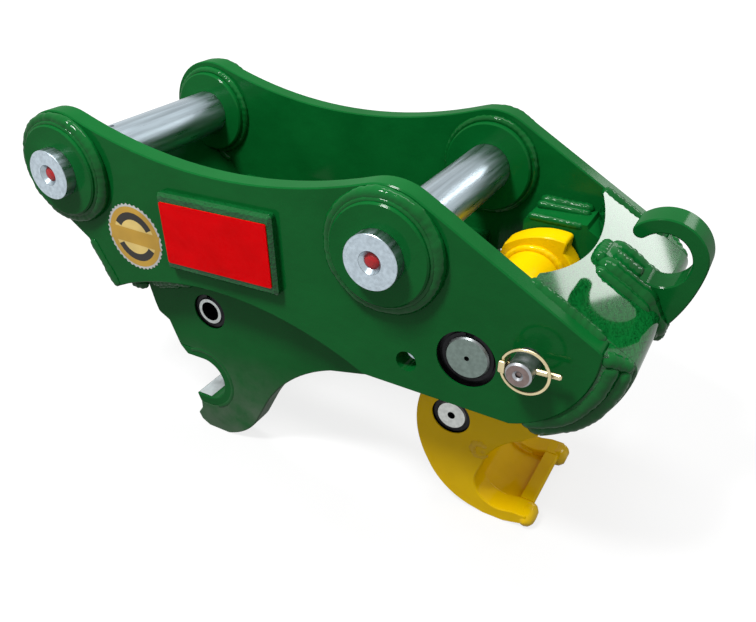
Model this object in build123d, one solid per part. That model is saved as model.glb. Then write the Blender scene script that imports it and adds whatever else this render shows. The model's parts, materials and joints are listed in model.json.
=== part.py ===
from build123d import *
import math
import os

os.makedirs("parts", exist_ok=True)

# Frame: the front stick pin's axis is x = z = 0, y = 0 is the middle, +x runs to the nose.
# Outlines are drawn in the x-z plane and extruded along y.

# Stick pins and their bosses
PIN_SPAN = 366
PIN_R = 25
PIN_FIT = 0.1
PIN_NEAR_END = 151
PIN_CHAMFER = 3
PIN_HEAD_R = 35
PIN_HEAD_T = 12
PLUG_HOLE_R = 10.5
PLUG_HOLE_DEPTH = 8
PLUG_T = 4
GREASE_HOLE_R = 3
GREASE_OUTLET_Y = -60
BOSS_R = 46.5
BOSS_OUT = 13
BOSS_IN = 11
BOSS_WELD_R = 54.6
BOSS_WELD_OUT = 8

# Side plates
INSIDE = 106
PLATE = 20
OUTSIDE = INSIDE + PLATE
EAR_R = 58
SADDLE_TOP_R = 505
SLOPE = math.radians(29.3)
NOSE_X, NOSE_Z, NOSE_R = PIN_SPAN + 93, -42, 94.5
PLATE_BOTTOM = -132
ARCH_X, ARCH_Z, ARCH_R = 187, -445, 351
PLATE_EDGE = 1.2

# Front hook
HOOK_PLATE = 25
DOUBLER = 10
FRONT_OUT = INSIDE - DOUBLER
FRONT_IN = FRONT_OUT - HOOK_PLATE
JAW_X, JAW_Z, JAW_R = 123, -238, 26.5
LINER = 10
HOOK_COVER = 19
HOOK_END_X, HOOK_END_H = PIN_SPAN + 6, 47
FLOOR = -308
CROSS_PLATE = 16

# Rear hook and what it turns on
PIVOT_X, PIVOT_Z, PIVOT_R = PIN_SPAN + 79, -81, 20
PIVOT_FIT = 0.05
PIVOT_RECESS_R, PIVOT_RECESS = 27, 7
CHEEK_OUT = 65
CHEEK_IN = 40
HUB_R = 30
MOUTH_X, MOUTH_Z, MOUTH_R = PIN_SPAN + 105, -266, 27.6
BLOCK_IN = CHEEK_OUT + 1

# Anchor pin, hook pin and the spring strut between them
ANCHOR_X, ANCHOR_Z = 140, -144
HOOK_PIN_X, HOOK_PIN_Z = PIN_SPAN + 46, -197
LINK_R = 16
LINK_FIT = 0.1
RECESS_R, RECESS = 20.5, 5
CLIP_T, CLIP_OUT, CLIP_IN = 2.4, 3.4, 1.2
EYE_R = 26
BARREL_R, BARREL_CAVITY_R = 28, 22
BARREL_FLOOR, GLAND_FROM, BARREL_END = 40, 156, 168
ROD_R, GLAND_FIT = 12.5, 2
PISTON_R, PISTON_FROM, PISTON_T = 19, 86, 14

# Safety pin and its lynch pin
SAFETY_X, SAFETY_Z, SAFETY_R = PIN_SPAN + 132, -62, 11
SAFETY_FIT = 0.1
SAFETY_NEAR_END, SAFETY_HEAD_R, SAFETY_HEAD = 152, 17, 8
LYNCH_Y, LYNCH_R, LYNCH_FIT = 139, 2.6, 0.25
LYNCH_TILT = 3
LYNCH_HEAD_L, LYNCH_HEAD_T, LYNCH_HEAD_H = 6, 14, 11
LYNCH_REACH = 31
RING_X, RING_Z, RING_Y = SAFETY_X + 3.5, SAFETY_Z + 1.5, 146
RING_R, RING_WIRE = 19.5, 1.4

# Nose and lifting hook
WRAP_X, WRAP_Z, WRAP_R, WRAP_IN = NOSE_X, -42.5, 120, 92
WRAP_T = 25
WRAP_EDGE_X, WRAP_MIDDLE_X = PIN_SPAN + 122, PIN_SPAN + 142
WRAP_CORNER_R = 14
NOSE_WELD_OUT, NOSE_WELD_R, NOSE_WELD_EDGE_R = 18, 117, 98
LIFT_X, LIFT_Z, LIFT_IN, LIFT_OUT, LIFT_T = PIN_SPAN + 200, -6, 24, 37, 30
LIFT_TIP = 134

# Name block
NAME_X, NAME_Z, NAME_L, NAME_H, NAME_T = PIN_SPAN / 2 + 9.5, -34, 133, 80, 9
NAME_TURN = 2.6
NAME_PLATE_L, NAME_PLATE_H, NAME_PLATE_T = 124, 63, 1.2

HOLE_X, HOLE_Z, HOLE_R = PIN_SPAN + 24, -102, 10


def at(x, z, y=0):
    return Vector(x, y, z)


def on_circle(x, z, radius, degrees):
    turn = math.radians(degrees)
    return (x + radius * math.cos(turn), z + radius * math.sin(turn))


def aft(x, z):
    """A point of the rear half, measured from the rear stick pin."""
    return (PIN_SPAN + x, z)


def outline(start, *steps):
    """A closed face: each step is a point to draw a line to, or two points of an arc."""
    edges = []
    here = start
    for step in steps + (start,):
        if isinstance(step[0], tuple):
            through, end = step
            edges.append(ThreePointArc(at(*here), at(*through), at(*end)))
        else:
            end = step
            if math.dist(here, end) > 0.01:
                edges.append(Line(at(*here), at(*end)))
        here = end
    return Face(Wire(edges))


def rounded(face, *corners):
    """Round the face's corners nearest to the given (x, z, radius)."""
    for x, z, radius in corners:
        corner = face.vertices().sort_by_distance(at(x, z))[0]
        face = face.fillet_2d(radius, [corner])
    return face


def slab(face, y_from, y_to):
    return extrude(Pos(0, y_from, 0) * face, amount=y_to - y_from, dir=(0, 1, 0))


def plate(face, y_from, y_to, edge=PLATE_EDGE):
    """A slab with the outline's edges broken on both faces."""
    body = slab(face, y_from, y_to)
    ends = body.faces().filter_by(Axis.Y)
    return chamfer(ends.edges(), edge)


def drum(x, z, radius, y_from, y_to):
    """A cylinder along y."""
    return Pos(x, (y_from + y_to) / 2, z) * Rot(90, 0, 0) * Cylinder(radius, abs(y_to - y_from))


def drum_cone(x, z, r_from, r_to, y_from, y_to):
    """A cone along y, with its first radius at y_from."""
    return Pos(x, (y_from + y_to) / 2, z) * Rot(-90, 0, 0) * Cone(r_from, r_to, y_to - y_from)


def both(shape):
    """The shape and its twin on the far side."""
    return Compound([shape, mirror(shape, about=Plane.XZ)])


def far(shape):
    return mirror(shape, about=Plane.XZ)


def save(name, shape):
    export_step(shape, f"parts/{name}.step")


def circlip(x, z, pin_r, y_floor):
    """A retaining ring that lies on a recess floor and grips the pin's groove, gap at the top."""
    ring = drum(x, z, pin_r + CLIP_OUT, y_floor - CLIP_T, y_floor)
    ring -= drum(x, z, pin_r - CLIP_IN, y_floor - CLIP_T, y_floor)
    ring -= Pos(x, y_floor - CLIP_T / 2, z + pin_r) * Box(7, CLIP_T, 2 * CLIP_OUT + 4)
    for side in (-1, 1):
        lug = drum(x + 6.2 * side, z + pin_r + 0.6, 2.4, y_floor - CLIP_T, y_floor)
        ring += lug - drum(x, z, pin_r - CLIP_IN, y_floor - CLIP_T, y_floor)
    return ring


def grooved_pin(x, z, radius, half_length, y_floor, centre_r, centre_depth):
    """A pin with chamfered ends, centre holes and a groove for a ring at each end."""
    pin = drum(x, z, radius, -half_length, half_length)
    pin = chamfer(pin.edges().filter_by(GeomType.CIRCLE), 1.5)
    for y_end, inward in ((-half_length, 1), (half_length, -1)):
        pin -= drum(x, z, centre_r, y_end, y_end + inward * centre_depth)
        floor = math.copysign(y_floor, y_end)
        outer = floor - inward * (CLIP_T + 0.05)
        band = drum(x, z, radius + 2, floor, outer)
        pin -= band - drum(x, z, radius - CLIP_IN, floor, outer)
    return pin


# Side plates

slope_start = on_circle(PIN_SPAN, 0, EAR_R, 90 - math.degrees(SLOPE))


def slope_z(x, depth=0):
    """The height of the slope's line at x, or of a line a given depth below it."""
    return slope_start[1] - (x - slope_start[0]) * math.tan(SLOPE) - depth / math.cos(SLOPE)


def slope_meets(x, z, radius, depth=0):
    """Where the slope's line, or one a given depth below it, leaves a circle."""
    from_x = slope_start[0] - depth * math.sin(SLOPE)
    from_z = slope_start[1] - depth * math.cos(SLOPE)
    along = (from_x - x) * math.cos(SLOPE) - (from_z - z) * math.sin(SLOPE)
    aside = (from_x - x) ** 2 + (from_z - z) ** 2 - radius ** 2
    reach = math.sqrt(along ** 2 - aside) - along
    return (from_x + reach * math.cos(SLOPE), from_z - reach * math.sin(SLOPE))


def arch_z(x, radius=ARCH_R):
    return ARCH_Z + math.sqrt(radius ** 2 - (x - ARCH_X) ** 2)


top_rise = math.sqrt((SADDLE_TOP_R + EAR_R) ** 2 - (PIN_SPAN / 2) ** 2)
ear_turn = math.degrees(math.atan2(top_rise, PIN_SPAN / 2))
front_low = (-31.6, -48.6)
cross_knee = (10, -77)
cross_foot = (38, -128)
nose_top = slope_meets(NOSE_X, NOSE_Z, NOSE_R)
arch_front = (57, arch_z(57))
arch_rear = (ARCH_X + math.sqrt(ARCH_R ** 2 - (PLATE_BOTTOM - ARCH_Z) ** 2), PLATE_BOTTOM)
nose_foot = on_circle(NOSE_X, NOSE_Z, NOSE_R, -72.2)

side = outline(
    front_low,
    (on_circle(0, 0, EAR_R, 170), on_circle(0, 0, EAR_R, ear_turn)),
    ((PIN_SPAN / 2, top_rise - SADDLE_TOP_R), on_circle(PIN_SPAN, 0, EAR_R, 180 - ear_turn)),
    (on_circle(PIN_SPAN, 0, EAR_R, 85), slope_start),
    nose_top,
    (on_circle(NOSE_X, NOSE_Z, NOSE_R, -36), nose_foot),
    arch_rear,
    ((ARCH_X, ARCH_Z + ARCH_R), arch_front),
    cross_foot,
    cross_knee,
)
side = rounded(side, (*nose_top, 9), (*arch_front, 6), (*arch_rear, 8))
side_plate = plate(side, -OUTSIDE, -INSIDE)
for pin_x in (0, PIN_SPAN):
    side_plate -= drum(pin_x, 0, BOSS_R, -OUTSIDE, -INSIDE)
side_plate -= drum(PIVOT_X, PIVOT_Z, PIVOT_R + PIVOT_FIT, -OUTSIDE, -INSIDE)
side_plate -= drum(PIVOT_X, PIVOT_Z, PIVOT_RECESS_R, -OUTSIDE, PIVOT_RECESS - OUTSIDE)
side_plate -= drum(SAFETY_X, SAFETY_Z, SAFETY_R + SAFETY_FIT, -OUTSIDE, -INSIDE)
side_plate -= drum(HOLE_X, HOLE_Z, HOLE_R, -OUTSIDE, -INSIDE)
save("near_side_plate", side_plate)
save("far_side_plate", far(side_plate))


# Bosses, with the weld ring that runs round each on the plate's outer face

def boss(x):
    tube = drum(x, 0, BOSS_R, -OUTSIDE - BOSS_OUT, -INSIDE + BOSS_IN)
    tube = chamfer(tube.edges().filter_by(GeomType.CIRCLE), 1.5)
    tube += drum_cone(x, 0, BOSS_R, BOSS_WELD_R, -OUTSIDE - BOSS_WELD_OUT, -OUTSIDE)
    return tube - drum(x, 0, PIN_R + PIN_FIT, -OUTSIDE - BOSS_OUT, -INSIDE + BOSS_IN)


for name, pin_x in (("front", 0), ("rear", PIN_SPAN)):
    save(f"near_{name}_boss", boss(pin_x))
    save(f"far_{name}_boss", far(boss(pin_x)))


# Stick pins, pulled out to the far side

def stick_pin(x):
    head_from = OUTSIDE + BOSS_OUT + 0.2
    pin = drum(x, 0, PIN_R, -PIN_NEAR_END, head_from + 1)
    pin = chamfer(pin.edges().filter_by(GeomType.CIRCLE).sort_by(Axis.Y)[0], PIN_CHAMFER)
    head = drum(x, 0, PIN_HEAD_R, head_from, head_from + PIN_HEAD_T)
    pin += chamfer(head.edges().filter_by(GeomType.CIRCLE), 2)
    pin -= drum(x, 0, PLUG_HOLE_R, -PIN_NEAR_END, -PIN_NEAR_END + PLUG_HOLE_DEPTH)
    pin -= drum(x, 0, GREASE_HOLE_R, -PIN_NEAR_END, GREASE_OUTLET_Y - 2)
    pin -= Pos(x, GREASE_OUTLET_Y, PIN_R / 2) * Cylinder(GREASE_HOLE_R - 0.5, PIN_R + 4)
    return pin


def plug(x):
    """A cap pressed into the pin's end, with a domed middle."""
    outer = PLUG_HOLE_DEPTH - PIN_NEAR_END
    cap = drum(x, 0, PLUG_HOLE_R, outer - PLUG_T, outer)
    return chamfer(cap.edges().filter_by(GeomType.CIRCLE).sort_by(Axis.Y)[0], 1.5)


for name, pin_x in (("front", 0), ("rear", PIN_SPAN)):
    save(f"{name}_stick_pin", stick_pin(pin_x))
    save(f"{name}_pin_plug", plug(pin_x))


# Front cross plate, bent along the side plates' lower front edge

def inner_line(points, depth):
    """The line that runs a given depth to the right of a bent line, corners mitred."""
    ways = []
    for (ax, az), (bx, bz) in zip(points, points[1:]):
        length = math.dist((ax, az), (bx, bz))
        ways.append(((bz - az) / length, (ax - bx) / length))
    inner = []
    for (x, z), (ax, az), (bx, bz) in zip(points, ways[:1] + ways, ways + ways[-1:]):
        reach = depth / (1 + ax * bx + az * bz)
        inner.append((x + reach * (ax + bx), z + reach * (az + bz)))
    return inner


cross_line = [cross_foot, cross_knee, front_low]
foot_in, knee_in, top_in = inner_line(cross_line, CROSS_PLATE)
cross = outline(cross_foot, cross_knee, front_low, top_in, knee_in, foot_in)
cross = rounded(cross, (*cross_knee, 6), (*knee_in, 22))
cross_plate = slab(cross, -INSIDE, INSIDE)
cross_plate -= both(drum(0, 0, BOSS_R, -INSIDE, BOSS_IN - INSIDE))
save("front_cross_plate", cross_plate)


# Front hook: two plates, their doublers and the liner of the jaw

liner_out = JAW_R + LINER
liner_tip = (90, JAW_Z + liner_out)
lip_nose = (111, JAW_Z - liner_out)
liner = outline(
    (100, JAW_Z + JAW_R - 0.5),
    (JAW_X, JAW_Z + JAW_R),
    ((JAW_X + JAW_R, JAW_Z), (JAW_X, JAW_Z - JAW_R)),
    (107, JAW_Z - JAW_R),
    lip_nose,
    (JAW_X, JAW_Z - liner_out),
    ((JAW_X + liner_out, JAW_Z), (JAW_X, JAW_Z + liner_out)),
    liner_tip,
)
save("front_jaw_liner", plate(liner, -FRONT_OUT, FRONT_OUT, 0.8))

hook_top = ARCH_Z + ARCH_R + HOOK_COVER
front_hook_face = outline(
    foot_in,
    (61, -155),
    (65, -166),
    (78.5, -173.5),
    liner_tip,
    (JAW_X, JAW_Z + liner_out),
    ((JAW_X + liner_out, JAW_Z), (JAW_X, JAW_Z - liner_out)),
    lip_nose,
    (111, -285),
    (105, -294),
    (109, -302),
    (120, FLOOR),
    (148, FLOOR),
    ((176, -292), (191, -274)),
    (207, -242),
    ((240, -199), (291, -167)),
    aft(-30, -156),
    (HOOK_END_X, hook_top - HOOK_END_H),
    (HOOK_END_X, hook_top),
    (foot_in[0] - 25, hook_top),
)
front_hook_face = rounded(
    front_hook_face, (65, -166, 6), (111, -285, 5), (109, -302, 5), (207, -242, 60),
    (*aft(-30, -156), 30), (HOOK_END_X, hook_top - HOOK_END_H, 12), (HOOK_END_X, hook_top, 8),
)
front_hook = plate(front_hook_face, -FRONT_OUT, -FRONT_IN)
front_hook -= slab(outline(cross_foot, cross_knee, front_low, top_in, knee_in, foot_in), -INSIDE, INSIDE)
front_hook -= drum(ANCHOR_X, ANCHOR_Z, LINK_R + LINK_FIT, -FRONT_OUT, -FRONT_IN)
front_hook -= drum(ANCHOR_X, ANCHOR_Z, RECESS_R, -FRONT_OUT, RECESS - FRONT_OUT)
save("near_front_hook", front_hook)
save("far_front_hook", far(front_hook))

doubler_drop = 5
doubler_r = ARCH_R - doubler_drop
doubler_end = arch_rear[0]
doubler_face = outline(
    (64, arch_z(64, doubler_r)),
    ((ARCH_X, ARCH_Z + doubler_r), (doubler_end, arch_z(doubler_end, doubler_r))),
    (HOOK_END_X, PLATE_BOTTOM + 6),
    (HOOK_END_X, hook_top),
    (45, hook_top),
    (45, -104),
)
doubler = slab(doubler_face, -INSIDE, -FRONT_OUT)
doubler -= slab(outline(cross_foot, cross_knee, front_low, top_in, knee_in, foot_in), -INSIDE, INSIDE)
for pin_x in (0, PIN_SPAN):
    doubler -= drum(pin_x, 0, BOSS_R, -INSIDE, BOSS_IN - INSIDE)
save("near_doubler", doubler)
save("far_doubler", far(doubler))


# Nose: the plate that wraps round between the side plates, and the lifting hook on it

wrap_turn = -64.2
wrap_corner = slope_meets(WRAP_X, WRAP_Z, WRAP_R)
wrap_outer = [
    wrap_corner,
    (on_circle(WRAP_X, WRAP_Z, WRAP_R, -35), on_circle(WRAP_X, WRAP_Z, WRAP_R, wrap_turn)),
]
wrap_inner_corner = slope_meets(WRAP_X, WRAP_Z, WRAP_IN, WRAP_T)
wrap = outline(
    (WRAP_EDGE_X, slope_z(WRAP_EDGE_X)),
    *wrap_outer,
    on_circle(WRAP_X, WRAP_Z, WRAP_IN, wrap_turn),
    (on_circle(WRAP_X, WRAP_Z, WRAP_IN, -38), wrap_inner_corner),
    (WRAP_EDGE_X, slope_z(WRAP_EDGE_X, WRAP_T)),
)
wrap = rounded(wrap, (*wrap_corner, WRAP_CORNER_R))
nose_solid = rounded(
    outline((WRAP_EDGE_X, slope_z(WRAP_EDGE_X)), *wrap_outer, (WRAP_X, WRAP_Z)),
    (*wrap_corner, WRAP_CORNER_R),
)
nose_wrap = plate(wrap, -INSIDE, INSIDE, 1)
edge_half = 94
edge_deep = WRAP_MIDDLE_X - WRAP_EDGE_X
edge_r = (edge_half ** 2 + edge_deep ** 2) / (2 * edge_deep)
nose_wrap -= Pos(WRAP_MIDDLE_X - edge_r, 0, 0) * Cylinder(edge_r, 200)
weld_y = -INSIDE - NOSE_WELD_OUT
weld = drum_cone(WRAP_X, WRAP_Z, NOSE_WELD_EDGE_R, NOSE_WELD_R, weld_y, -INSIDE)
weld &= slab(nose_solid, weld_y, -INSIDE)
weld -= drum(NOSE_X, NOSE_Z, NOSE_R + 0.1, weld_y, -INSIDE)
nose_wrap += both(weld)
save("nose_wrap", nose_wrap)

tip_out = on_circle(LIFT_X, LIFT_Z, LIFT_OUT, LIFT_TIP)
tip_in = on_circle(LIFT_X, LIFT_Z, LIFT_IN, LIFT_TIP)
tip_centre = on_circle(LIFT_X, LIFT_Z, (LIFT_IN + LIFT_OUT) / 2, LIFT_TIP)
tip_mid = on_circle(*tip_centre, (LIFT_OUT - LIFT_IN) / 2, LIFT_TIP + 90)
toe_x = LIFT_X - 45
heel = on_circle(LIFT_X, LIFT_Z, LIFT_IN, 250)
foot_bend = (LIFT_X - 17, slope_z(LIFT_X - 17) + 8)
tail = on_circle(WRAP_X, WRAP_Z, WRAP_R, -16.5)
lift = outline(
    tip_in,
    (tip_mid, tip_out),
    (on_circle(LIFT_X, LIFT_Z, LIFT_OUT, 75), (LIFT_X + LIFT_OUT, LIFT_Z)),
    ((LIFT_X + 31, -33), tail),
    (LIFT_X - 26, slope_z(LIFT_X - 26) - 24),
    (toe_x - 3, slope_z(toe_x - 3) - 6),
    (toe_x, slope_z(toe_x) + 9),
    foot_bend,
    heel,
    (on_circle(LIFT_X, LIFT_Z, LIFT_IN, 340), on_circle(LIFT_X, LIFT_Z, LIFT_IN, 90)),
    (on_circle(LIFT_X, LIFT_Z, LIFT_IN, 112), tip_in),
)
lift = rounded(lift, (*foot_bend, 12), (LIFT_X + LIFT_OUT, LIFT_Z, 30))
lifting_hook = plate(lift, -LIFT_T / 2, LIFT_T / 2)
lifting_hook -= slab(nose_solid, -INSIDE, INSIDE)
save("lifting_hook", lifting_hook)


# Blocks that thicken the side plates round the pivot

block_top, block_foot = -28, -128
block_edge_x = WRAP_EDGE_X - 2
block = outline(
    aft(55, block_top - 2),
    (block_edge_x - 2, block_top + 2),
    (block_edge_x, slope_z(block_edge_x, WRAP_T) - 1),
    (SAFETY_X + 24, slope_z(SAFETY_X + 24, WRAP_T) - 1),
    (SAFETY_X + 24, block_foot),
    aft(55, block_foot),
)
block = rounded(block, (*aft(55, block_top - 2), 6), (*aft(55, block_foot), 12))
block = slab(block, -INSIDE, -BLOCK_IN)
block &= drum(WRAP_X, WRAP_Z, WRAP_IN - 0.3, -INSIDE, -BLOCK_IN)
block -= drum(PIVOT_X, PIVOT_Z, PIVOT_R + PIVOT_FIT, -INSIDE, -BLOCK_IN)
block -= drum(SAFETY_X, SAFETY_Z, SAFETY_R + SAFETY_FIT, -INSIDE, -BLOCK_IN)
save("near_pivot_block", block)
save("far_pivot_block", far(block))


# Name block and the plain plate on it

name_at = Pos(NAME_X, 0, NAME_Z) * Rot(0, -NAME_TURN, 0)
name_block = Pos(0, -OUTSIDE - NAME_T / 2, 0) * Box(NAME_L, NAME_T, NAME_H)
name_block = fillet(name_block.edges().filter_by(Axis.Y), 4)
name_block = chamfer(name_block.faces().sort_by(Axis.Y)[0].edges(), 3)
save("name_block", name_at * name_block)
name_plate = Pos(0, -OUTSIDE - NAME_T - NAME_PLATE_T / 2, 0) * Box(NAME_PLATE_L, NAME_PLATE_T, NAME_PLATE_H)
save("name_plate", name_at * fillet(name_plate.edges().filter_by(Axis.Y), 2))


# Rear hook: two cheeks on a hub, a liner between them

throat = aft(86, -234)
throat_way = math.atan2(throat[1] - MOUTH_Z, throat[0] - MOUTH_X)
throat_reach = math.dist(throat, (MOUTH_X, MOUTH_Z))
back_turn = math.degrees(throat_way + math.acos(MOUTH_R / throat_reach))
cheek_face = outline(
    aft(35, -84),
    aft(11, -184),
    (aft(9.5, -224), aft(24, -264)),
    (aft(45, -290), aft(76, -305)),
    aft(90, FLOOR),
    aft(112, FLOOR),
    aft(131, -303),
    aft(138, -290.5),
    aft(121, -290.5),
    on_circle(MOUTH_X, MOUTH_Z, MOUTH_R, 280),
    (on_circle(MOUTH_X, MOUTH_Z, MOUTH_R, 225), on_circle(MOUTH_X, MOUTH_Z, MOUTH_R, back_turn)),
    throat,
    (aft(98, -215), aft(119, -199)),
    aft(134, -186),
    aft(138, -178),
    aft(131, -150),
    aft(124, -118),
    aft(121.5, PIVOT_Z),
    (on_circle(PIVOT_X, PIVOT_Z, 42.5, 27), on_circle(PIVOT_X, PIVOT_Z, 42.5, 50)),
    on_circle(PIVOT_X, PIVOT_Z, 53, 57),
    (on_circle(PIVOT_X, PIVOT_Z, 44, 95), aft(46, -52)),
)
cheek_face = rounded(
    cheek_face, (*aft(35, -84), 20), (*aft(11, -184), 60), (*aft(138, -178), 4), (*aft(138, -290.5), 3),
    (*on_circle(PIVOT_X, PIVOT_Z, 53, 57), 4),
)
cheek = plate(cheek_face, -CHEEK_OUT, -CHEEK_IN)
cheek -= drum(PIVOT_X, PIVOT_Z, PIVOT_R + PIVOT_FIT, -CHEEK_OUT, -CHEEK_IN)
cheek -= drum(HOOK_PIN_X, HOOK_PIN_Z, LINK_R + LINK_FIT, -CHEEK_OUT, -CHEEK_IN)
cheek -= drum(HOOK_PIN_X, HOOK_PIN_Z, RECESS_R, -CHEEK_OUT, RECESS - CHEEK_OUT)
save("near_hook_cheek", cheek)
save("far_hook_cheek", far(cheek))

hub = drum(PIVOT_X, PIVOT_Z, HUB_R, -CHEEK_IN, CHEEK_IN)
save("hook_hub", hub - drum(PIVOT_X, PIVOT_Z, PIVOT_R + PIVOT_FIT, -CHEEK_IN, CHEEK_IN))

set_back = 6
rear_liner = outline(
    aft(130, -182),
    aft(115, -195),
    (aft(93, -212), aft(80, -235)),
    on_circle(MOUTH_X, MOUTH_Z, MOUTH_R + set_back, back_turn),
    (on_circle(MOUTH_X, MOUTH_Z, MOUTH_R + set_back, 225), (MOUTH_X, MOUTH_Z - MOUTH_R - set_back)),
    aft(121, MOUTH_Z - MOUTH_R - set_back),
    aft(121, -290.5),
    aft(138, -290.5),
    aft(131, -303),
    aft(112, FLOOR),
    aft(90, FLOOR),
    (aft(64, -290), aft(56, -262)),
    aft(66, -229),
    (aft(80, -207), aft(104, -186)),
    aft(121, -171),
)
rear_liner = rounded(rear_liner, (*aft(138, -290.5), 3), (*aft(66, -229), 20))
save("rear_mouth_liner", slab(rear_liner, -CHEEK_IN, CHEEK_IN))


# Pins that stay in place, with a retaining ring at each end

pins = (
    ("pivot_pin", PIVOT_X, PIVOT_Z, PIVOT_R, OUTSIDE - PIVOT_RECESS, 124, 2.3, 20),
    ("anchor_pin", ANCHOR_X, ANCHOR_Z, LINK_R, FRONT_OUT - RECESS, 94.8, 11, 20),
    ("hook_pin", HOOK_PIN_X, HOOK_PIN_Z, LINK_R, CHEEK_OUT - RECESS, 63.8, 4, 12),
)
for name, x, z, radius, y_floor, half_length, centre_r, centre_depth in pins:
    save(name, grooved_pin(x, z, radius, half_length, y_floor, centre_r, centre_depth))
    save(f"{name}_rings", both(circlip(x, z, radius, -y_floor)))


# Spring strut: a closed barrel on the anchor pin, a rod on the hook pin

strut_length = math.dist((ANCHOR_X, ANCHOR_Z), (HOOK_PIN_X, HOOK_PIN_Z))
strut_turn = math.degrees(math.atan2(ANCHOR_Z - HOOK_PIN_Z, HOOK_PIN_X - ANCHOR_X))
strut_at = Pos(ANCHOR_X, 0, ANCHOR_Z) * Rot(0, strut_turn, 0)


def shaft(radius, x_from, x_to):
    """A cylinder along the strut."""
    return Pos((x_from + x_to) / 2, 0, 0) * Rot(0, 90, 0) * Cylinder(radius, x_to - x_from)


barrel = shaft(BARREL_R, 0, BARREL_END)
barrel = chamfer(barrel.edges().filter_by(GeomType.CIRCLE), 2)
barrel += drum(0, 0, EYE_R, 0.5 - FRONT_IN, FRONT_IN - 0.5)
barrel -= shaft(BARREL_CAVITY_R, BARREL_FLOOR, GLAND_FROM)
barrel -= shaft(ROD_R + GLAND_FIT, GLAND_FROM, BARREL_END)
barrel -= drum(0, 0, LINK_R + LINK_FIT, -FRONT_IN, FRONT_IN)
save("strut_barrel", strut_at * barrel)

rod = shaft(ROD_R, PISTON_FROM, strut_length)
rod += shaft(PISTON_R, PISTON_FROM, PISTON_FROM + PISTON_T)
rod += drum(strut_length, 0, EYE_R, 0.5 - CHEEK_IN, CHEEK_IN - 0.5)
rod -= drum(strut_length, 0, LINK_R + LINK_FIT, -CHEEK_IN, CHEEK_IN)
save("strut_rod", strut_at * rod)


# Safety pin through plates and blocks, with its lynch pin and ring at the near end

safety_pin = drum(SAFETY_X, SAFETY_Z, SAFETY_R, -SAFETY_NEAR_END, OUTSIDE + 1)
safety_pin = chamfer(safety_pin.edges().filter_by(GeomType.CIRCLE).sort_by(Axis.Y)[0], 1.5)
head = drum(SAFETY_X, SAFETY_Z, SAFETY_HEAD_R, OUTSIDE + 0.2, OUTSIDE + 0.2 + SAFETY_HEAD)
safety_pin += chamfer(head.edges().filter_by(GeomType.CIRCLE), 1.5)
safety_pin -= drum(SAFETY_X, SAFETY_Z, 4.5, -SAFETY_NEAR_END, 3 - SAFETY_NEAR_END)
lynch_at = Pos(SAFETY_X, -LYNCH_Y, SAFETY_Z) * Rot(0, -LYNCH_TILT, 0)
safety_pin -= lynch_at * shaft(LYNCH_R + LYNCH_FIT, -2 * SAFETY_R, 2 * SAFETY_R)
save("safety_pin", safety_pin)

ring_gap = 22
axle_x, axle_top = on_circle(RING_X, RING_Z, RING_R, 180 - ring_gap)
lynch = shaft(LYNCH_R, axle_x + 1 - SAFETY_X, LYNCH_REACH)
lynch = chamfer(lynch.edges().filter_by(GeomType.CIRCLE).sort_by(Axis.X)[-1], 1.2)
lynch_head = Box(LYNCH_HEAD_L, LYNCH_HEAD_T, LYNCH_HEAD_H)
head_y = -(LYNCH_Y + RING_Y) / 2 - 0.25
lynch = lynch_at * lynch + Pos(axle_x, head_y, RING_Z) * fillet(lynch_head.edges(), 1.5)
lynch -= Pos(axle_x, -RING_Y, RING_Z) * Cylinder(RING_WIRE + 0.2, 40)
save("lynch_pin", lynch)

axle_foot = 2 * RING_Z - axle_top
ring_arc = ThreePointArc(
    at(axle_x, axle_top, -RING_Y),
    at(RING_X + RING_R, RING_Z, -RING_Y),
    at(axle_x, axle_foot, -RING_Y),
)
ring = sweep(Plane(ring_arc @ 0, z_dir=ring_arc % 0) * Circle(RING_WIRE), path=ring_arc)
ring += Pos(axle_x, -RING_Y, RING_Z) * Cylinder(RING_WIRE, axle_top - axle_foot)
for z in (axle_top, axle_foot):
    ring += Pos(axle_x, -RING_Y, z) * Sphere(RING_WIRE)
save("lynch_ring", ring)
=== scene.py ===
"""Paint, welds, small parts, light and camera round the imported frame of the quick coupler."""

import json
import math

import bmesh
import bpy
from mathutils import Matrix, Vector, noise


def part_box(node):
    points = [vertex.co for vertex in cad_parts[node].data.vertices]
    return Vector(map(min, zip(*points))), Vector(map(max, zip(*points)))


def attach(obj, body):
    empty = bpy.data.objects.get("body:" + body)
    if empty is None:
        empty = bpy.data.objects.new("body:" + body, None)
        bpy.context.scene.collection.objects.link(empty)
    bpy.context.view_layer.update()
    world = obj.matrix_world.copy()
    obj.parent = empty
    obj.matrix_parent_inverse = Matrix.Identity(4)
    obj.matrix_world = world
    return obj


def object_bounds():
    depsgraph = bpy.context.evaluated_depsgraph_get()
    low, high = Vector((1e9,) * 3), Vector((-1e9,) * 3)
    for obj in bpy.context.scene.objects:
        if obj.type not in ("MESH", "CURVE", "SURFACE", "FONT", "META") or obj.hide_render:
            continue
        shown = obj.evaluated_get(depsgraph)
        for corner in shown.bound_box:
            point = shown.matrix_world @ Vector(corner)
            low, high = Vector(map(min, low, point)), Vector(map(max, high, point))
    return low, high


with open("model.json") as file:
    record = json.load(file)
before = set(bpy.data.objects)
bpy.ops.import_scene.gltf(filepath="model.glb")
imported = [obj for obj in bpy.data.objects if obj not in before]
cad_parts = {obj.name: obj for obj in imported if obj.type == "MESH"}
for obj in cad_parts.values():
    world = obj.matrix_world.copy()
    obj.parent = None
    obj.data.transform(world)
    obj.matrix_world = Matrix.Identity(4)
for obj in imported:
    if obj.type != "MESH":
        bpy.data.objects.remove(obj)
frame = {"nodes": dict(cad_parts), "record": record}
nodes = frame["nodes"]
cad_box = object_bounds()

MM = 0.001


# Shader nodes

MIX_A, MIX_B, MIX_RESULT = 6, 7, 2


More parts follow.
